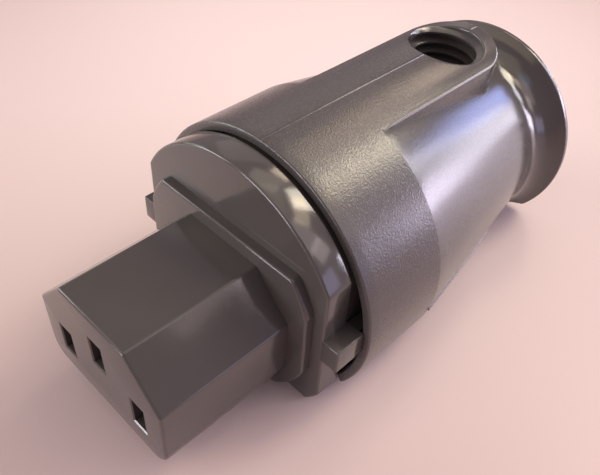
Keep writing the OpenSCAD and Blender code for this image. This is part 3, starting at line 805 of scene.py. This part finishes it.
def threadTree():
    # A ridge that winds about an upright axis: a helix with the thread's section carried along it
    tree = bpy.data.node_groups.new("threadRidge", "GeometryNodeTree")
    face = tree.interface
    face.new_socket("Section", in_out="INPUT", socket_type="NodeSocketGeometry")
    for name in ("Radius", "Pitch", "Turns", "Start Height"):
        face.new_socket(name, in_out="INPUT", socket_type="NodeSocketFloat")
    face.new_socket("Centre", in_out="INPUT", socket_type="NodeSocketVector")
    face.new_socket("Steps Per Turn", in_out="INPUT", socket_type="NodeSocketInt")
    face.new_socket("Material", in_out="INPUT", socket_type="NodeSocketMaterial")
    face.new_socket("Mesh", in_out="OUTPUT", socket_type="NodeSocketGeometry")
    start = addNode(tree, "NodeGroupInput")
    size = addNode(tree, "GeometryNodeAttributeDomainSize", {"component": "MESH"},
                   {"Geometry": start.outputs["Section"]})
    many = addNode(tree, "ShaderNodeMath", {"operation": "MULTIPLY"},
                   {0: start.outputs["Turns"], 1: start.outputs["Steps Per Turn"]})
    many = addNode(tree, "ShaderNodeMath", {"operation": "FLOOR"}, {0: many.outputs[0]})
    rows = addNode(tree, "ShaderNodeMath", {"operation": "ADD", 1: 1.0}, {0: many.outputs[0]})
    grid = addNode(tree, "GeometryNodeMeshGrid", {"Size X": 1.0, "Size Y": 1.0},
                   {"Vertices X": rows.outputs[0], "Vertices Y": size.outputs["Point Count"]})
    order = addNode(tree, "GeometryNodeInputIndex")
    along = addNode(tree, "ShaderNodeMath", {"operation": "MODULO"},
                    {0: order.outputs[0], 1: size.outputs["Point Count"]})
    row = addNode(tree, "ShaderNodeMath", {"operation": "DIVIDE"},
                  {0: order.outputs[0], 1: size.outputs["Point Count"]})
    row = addNode(tree, "ShaderNodeMath", {"operation": "FLOOR"}, {0: row.outputs[0]})
    turns = addNode(tree, "ShaderNodeMath", {"operation": "DIVIDE"},
                    {0: row.outputs[0], 1: start.outputs["Steps Per Turn"]})
    angle = addNode(tree, "ShaderNodeMath", {"operation": "MULTIPLY", 1: 2 * math.pi},
                    {0: turns.outputs[0]})
    where = addNode(tree, "GeometryNodeInputPosition")
    pick = addNode(tree, "GeometryNodeSampleIndex", {"data_type": "FLOAT_VECTOR", "domain": "POINT"},
                   {"Geometry": start.outputs["Section"], "Value": where.outputs[0],
                    "Index": along.outputs[0]})
    part = addNode(tree, "ShaderNodeSeparateXYZ", {}, {"Vector": pick.outputs["Value"]})
    # The ridge runs out to nothing over its first and last fifth of a turn
    left = addNode(tree, "ShaderNodeMath", {"operation": "SUBTRACT"},
                   {0: start.outputs["Turns"], 1: turns.outputs[0]})
    nearest = addNode(tree, "ShaderNodeMath", {"operation": "MINIMUM"},
                      {0: left.outputs[0], 1: turns.outputs[0]})
    fade = addNode(tree, "ShaderNodeMapRange", {"From Min": 0.0, "From Max": 0.22},
                   {"Value": nearest.outputs[0]})
    stand = addNode(tree, "ShaderNodeMath", {"operation": "MULTIPLY"},
                    {0: part.outputs["X"], 1: fade.outputs[0]})
    radius = addNode(tree, "ShaderNodeMath", {"operation": "ADD"},
                     {0: start.outputs["Radius"], 1: stand.outputs[0]})
    cosine = addNode(tree, "ShaderNodeMath", {"operation": "COSINE"}, {0: angle.outputs[0]})
    sine = addNode(tree, "ShaderNodeMath", {"operation": "SINE"}, {0: angle.outputs[0]})
    x = addNode(tree, "ShaderNodeMath", {"operation": "MULTIPLY"},
                {0: radius.outputs[0], 1: cosine.outputs[0]})
    y = addNode(tree, "ShaderNodeMath", {"operation": "MULTIPLY"},
                {0: radius.outputs[0], 1: sine.outputs[0]})
    climb = addNode(tree, "ShaderNodeMath", {"operation": "MULTIPLY"},
                    {0: turns.outputs[0], 1: start.outputs["Pitch"]})
    z = addNode(tree, "ShaderNodeMath", {"operation": "ADD"}, {0: climb.outputs[0], 1: part.outputs["Z"]})
    z = addNode(tree, "ShaderNodeMath", {"operation": "ADD"},
                {0: z.outputs[0], 1: start.outputs["Start Height"]})
    point = addNode(tree, "ShaderNodeCombineXYZ", {},
                    {"X": x.outputs[0], "Y": y.outputs[0], "Z": z.outputs[0]})
    point = addNode(tree, "ShaderNodeVectorMath", {"operation": "ADD"},
                    {0: point.outputs[0], 1: start.outputs["Centre"]})
    moved = addNode(tree, "GeometryNodeSetPosition", {},
                    {"Geometry": grid.outputs["Mesh"], "Position": point.outputs[0]})
    merged = addNode(tree, "GeometryNodeMergeByDistance", {"Distance": 2e-7},
                     {"Geometry": moved.outputs[0]})
    real = addNode(tree, "GeometryNodeRealizeInstances", {}, {"Geometry": merged.outputs[0]})
    dressed = addNode(tree, "GeometryNodeSetMaterial", {},
                      {"Geometry": real.outputs[0], "Material": start.outputs["Material"]})
    addNode(tree, "NodeGroupOutput", {}, {"Mesh": dressed.outputs[0]})
    return tree


threadMaker = threadTree()


def threadRidge(name, section, radius, pitch, low, turns, centre, material, steps=72):
    # section: (outwards, up) points in millimetres, outwards negative for a ridge in a hole
    points = [(out / 1000, 0.0, up / 1000) for out, up in section + section[:1]]
    mesh = bpy.data.meshes.new(name)
    mesh.from_pydata(points, [(i, i + 1) for i in range(len(points) - 1)], [])
    ridge = grown(name, mesh, threadMaker, {
        "Radius": radius / 1000, "Pitch": pitch / 1000, "Turns": turns,
        "Start Height": (place["axisZ"] + low) / 1000, "Centre": (xOf(centre[0]), centre[1] / 1000, 0.0),
        "Steps Per Turn": steps, "Material": material})
    work = bmesh.new()
    work.from_mesh(ridge.data)
    bmesh.ops.holes_fill(work, edges=[e for e in work.edges if e.is_boundary], sides=0)
    work.to_mesh(ridge.data)
    work.free()
    data = ridge.data
    bpy.data.objects.remove(ridge)
    return tidyMesh(name, data, material, angle=28)


clampSizes = {
    "at": 59.3, "pitch": 1.5, "boreRadius": 5.15, "crest": 0.75, "boreLow": 6.68, "boreTurns": 7.85,
    "screwRadius": 5.05, "screwCore": 4.28, "screwLow": 3.3, "screwHigh": 9.3,
    "slotWidth": 1.6, "slotDepth": 2.0, "pivotHole": 1.26,
}


def buildBoreThread(s):
    p, c = s["pitch"], s["crest"]
    section = [(0.2, -0.4 * p), (0.0, -0.37 * p), (-c, -0.1 * p), (-c - 0.04, 0.0),
               (-c, 0.1 * p), (0.0, 0.37 * p), (0.2, 0.4 * p)]
    return threadRidge("boreThread", section, s["boreRadius"], p, s["boreLow"], s["boreTurns"],
                       (s["at"], 0.0), shellGrey)


boreThread = buildBoreThread(clampSizes)
shellBody = joined("shellBody", [shellBody, boreThread])


def buildClampScrew(s):
    sides = 96

    def ring(r, h):
        return [(s["at"] + r * math.cos(2 * math.pi * k / sides), r * math.sin(2 * math.pi * k / sides), h)
                for k in range(sides)]

    low, high, core = s["screwLow"], s["screwHigh"], s["screwCore"]
    rings = [ring(s["pivotHole"], low + 2.5), ring(s["pivotHole"], low + 0.15),
             ring(s["pivotHole"] + 0.15, low),
             ring(core - 0.4, low), ring(core, low + 0.4), ring(core, high - 0.5), ring(core - 0.5, high)]
    body = meshPiece("screwBody", rings, blackNylon, caps=True)
    cut = block("slotCut", (s["at"] - 6, -s["slotWidth"] / 2, high - s["slotDepth"]),
                (s["at"] + 6, s["slotWidth"] / 2, high + 1), blackNylon)
    p = s["pitch"]
    out = s["screwRadius"] - core
    section = [(-0.2, -0.34 * p), (0.0, -0.3 * p), (out, -0.07 * p),
               (out, 0.07 * p), (0.0, 0.3 * p), (-0.2, 0.34 * p)]
    # Half a pitch off the thread of the hole, so that one lies in the other
    first = s["boreLow"] + p / 2
    while first - p > low + 0.3:
        first -= p
    ridge = threadRidge("screwThread", section, core, p, first, (high - 0.6 - first) / p,
                        (s["at"], 0.0), blackNylon)
    cutWith(body, [cut])
    ridgeCut = block("slotCut", (s["at"] - 6, -s["slotWidth"] / 2, high - s["slotDepth"]),
                     (s["at"] + 6, s["slotWidth"] / 2, high + 1), blackNylon)
    cutWith(ridge, [ridgeCut])
    return joined("clampScrewBody", [body, ridge])


clampScrewBody = buildClampScrew(clampSizes)
print("stage: clamp screw and threads")


# Frame, riding and finishes

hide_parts("contact_carrier")
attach(carrierBody, "connector")
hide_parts("rear_shell")
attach(shellBody, "connector")
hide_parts("clamp_screw")
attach(clampScrewBody, "clamp_screw")

finishes = {
    "carrier_cover": coverGrey, "clamp_shoe": blackNylon,
    "line_contact": stampedBrass, "neutral_contact": stampedBrass, "earth_contact": stampedBrass,
    "line_terminal": stampedBrass, "neutral_terminal": stampedBrass, "earth_terminal": stampedBrass,
    "line_pressure_plate": zincSteel, "neutral_pressure_plate": zincSteel, "earth_pressure_plate": zincSteel,
    "line_terminal_screw": zincSteel, "neutral_terminal_screw": zincSteel, "earth_terminal_screw": zincSteel,
    "cover_screw_left": zincSteel, "cover_screw_right": zincSteel,
}
for node, material in finishes.items():
    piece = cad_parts[node]
    piece.data.materials.clear()
    piece.data.materials.append(material)
print("stage: pieces placed on the frame")


# Table, light and camera

def tableMaterial(settings):
    # White coated table top: an even pale laminate with a soft gloss, with a painted pool of light: paler
    # round a spot beside the connector, darker towards the edge colour further out
    material, tree, shader, position = newMaterial("coated_table_top_with_painted_light_pool")
    shader.inputs["Roughness"].default_value = settings["rough"]
    shader.inputs["Specular IOR Level"].default_value = settings["specular"]
    # Painted pool of light: the colour falls off from the spot to the darker edge colour
    offset = addNode(tree, "ShaderNodeVectorMath", {"operation": "SUBTRACT", 1: settings["paintedLightPoolSpot"]},
                     {0: position})
    away = addNode(tree, "ShaderNodeVectorMath", {"operation": "LENGTH"}, {0: offset.outputs["Vector"]})
    share = addNode(tree, "ShaderNodeMapRange", {"From Min": 0.0, "From Max": settings["reach"]},
                    {"Value": away.outputs["Value"]})
    paintedLightFalloff = addNode(tree, "ShaderNodeMath", {"operation": "POWER", 1: 2.0}, {0: share.outputs[0]})
    tone = addNode(tree, "ShaderNodeMix", {"data_type": "RGBA"}, {"Factor": paintedLightFalloff.outputs[0]})
    tone.inputs[6].default_value = linear(settings["paintedLightPoolColour"])
    tone.inputs[7].default_value = linear(settings["edge"])
    tree.links.new(tone.outputs[2], shader.inputs["Base Color"])
    return material


# The centre colour, spot and reach paint a pool of light on the table; edge is the darker colour it falls off
# to
stageSettings = {"paintedLightPoolColour": "#f0deda", "edge": "#c3a8a4", "paintedLightPoolSpot": (-0.043, -0.034, 0.0), "reach": 0.12,
                 "rough": 0.36, "specular": 0.4, "half": 3.0}


def buildTable(s):
    half = s["half"]
    mesh = bpy.data.meshes.new("tableTop")
    corner = [(-half, -half, 0), (half, -half, 0), (half, half, 0), (-half, half, 0)]
    mesh.from_pydata(corner, [], [(0, 1, 2, 3)])
    mesh.materials.append(tableMaterial(s))
    table = bpy.data.objects.new("tableTop", mesh)
    bpy.context.scene.collection.objects.link(table)


buildTable(stageSettings)


# Softboxes round the table, a metre off: azimuth from +X, elevation, width and height in degrees,
# brightness and colour. A warm ceiling, a cool window low behind, and fill from the left and front.
lightSettings = [
    ("ceilingPanel", 166, 44, 16, 24, 8.6, "#fff6e2"),
    ("ceilingSide", 149, 50, 18, 12, 3.02, "#ffe8c3"),
    ("ceilingBack", 196, 44, 12, 12, 5.48, "#ffe6cd"),
    ("backHigh", 203, 60, 20, 16, 1.1, "#fff3da"),
    ("overhead", 150, 82, 40, 40, 0.6, "#fff6d2"),
    ("ceilingEdge", 163, 50, 7, 9, 4, "#ffcf86"),
    ("windowLow", 143, 8, 20, 15, 11, "#f2e7ff"),
    ("windowMid", 160, 9, 14, 15, 6.22, "#f4eeff"),
    ("windowUp", 156, 26, 14, 14, 6.2, "#f7f2ff"),
    ("windowFar", 176, 5, 12, 9, 10, "#ffffff"),
    ("skyBlue", 170, 17, 13, 10, 6.57, "#abb9ff"),
    ("rightLow", 110, 10, 26, 16, 1.68, "#d2d0ff"),
    ("rightMid", 125, 30, 14, 14, 2.11, "#ffebeb"),
    ("rightUp", 118, 46, 26, 26, 1.16, "#ffebe7"),
    ("rightHigh", 95, 60, 24, 14, 0.8, "#a8d4ff"),
    ("frontUp", 335, 46, 60, 24, 0.9, "#ffedc8"),
    ("frontLow", 345, 9, 30, 14, 10, "#faf6ff"),
    ("leftLamp", 303, 18, 28, 20, 6, "#fffeff"),
    ("leftLow", 272, 16, 30, 22, 1.5, "#dcf6dc"),
    ("sideBack", 225, 30, 30, 30, 0.36, "#fff2e4"),
]


def softbox(name, azimuth, elevation, width, height, brightness, colour, target=(0, 0, 0.012)):
    light = bpy.data.lights.new(name, "AREA")
    light.shape = "RECTANGLE"
    light.size = 2 * math.tan(math.radians(width / 2))
    light.size_y = 2 * math.tan(math.radians(height / 2))
    light.energy = brightness * light.size * light.size_y * math.pi
    light.color = linear(colour)[:3]
    lamp = bpy.data.objects.new(name, light)
    a, e = math.radians(azimuth), math.radians(elevation)
    way = Vector((math.cos(e) * math.cos(a), math.cos(e) * math.sin(a), math.sin(e)))
    lamp.location = Vector(target) + way
    lamp.rotation_euler = way.to_track_quat("Z", "Y").to_euler()
    bpy.context.scene.collection.objects.link(lamp)


for item in lightSettings:
    softbox(*item)

roomSettings = {"colour": "#ffe5fb", "strength": 0.28}
world = bpy.data.worlds.new("room")
bpy.context.scene.world = world
world.use_nodes = True
background = world.node_tree.nodes["Background"]
background.inputs["Color"].default_value = linear(roomSettings["colour"])
background.inputs["Strength"].default_value = roomSettings["strength"]

cameraSettings = {"lens": 40.87, "spot": (55.44, 45.06, 75.7), "turn": (46.0, -3.17, 134.89)}


def addCamera(s):
    data = bpy.data.cameras.new("camera")
    data.lens = s["lens"]
    data.sensor_width = 36.0
    data.sensor_fit = "HORIZONTAL"
    data.clip_start = 0.001
    camera = bpy.data.objects.new("camera", data)
    camera.rotation_euler = [math.radians(angle) for angle in s["turn"]]
    camera.location = Vector(s["spot"]) / 1000
    bpy.context.scene.collection.objects.link(camera)
    bpy.context.scene.camera = camera


addCamera(cameraSettings)
bpy.context.scene.view_settings.view_transform = "Standard"
print("stage: table, light and camera")
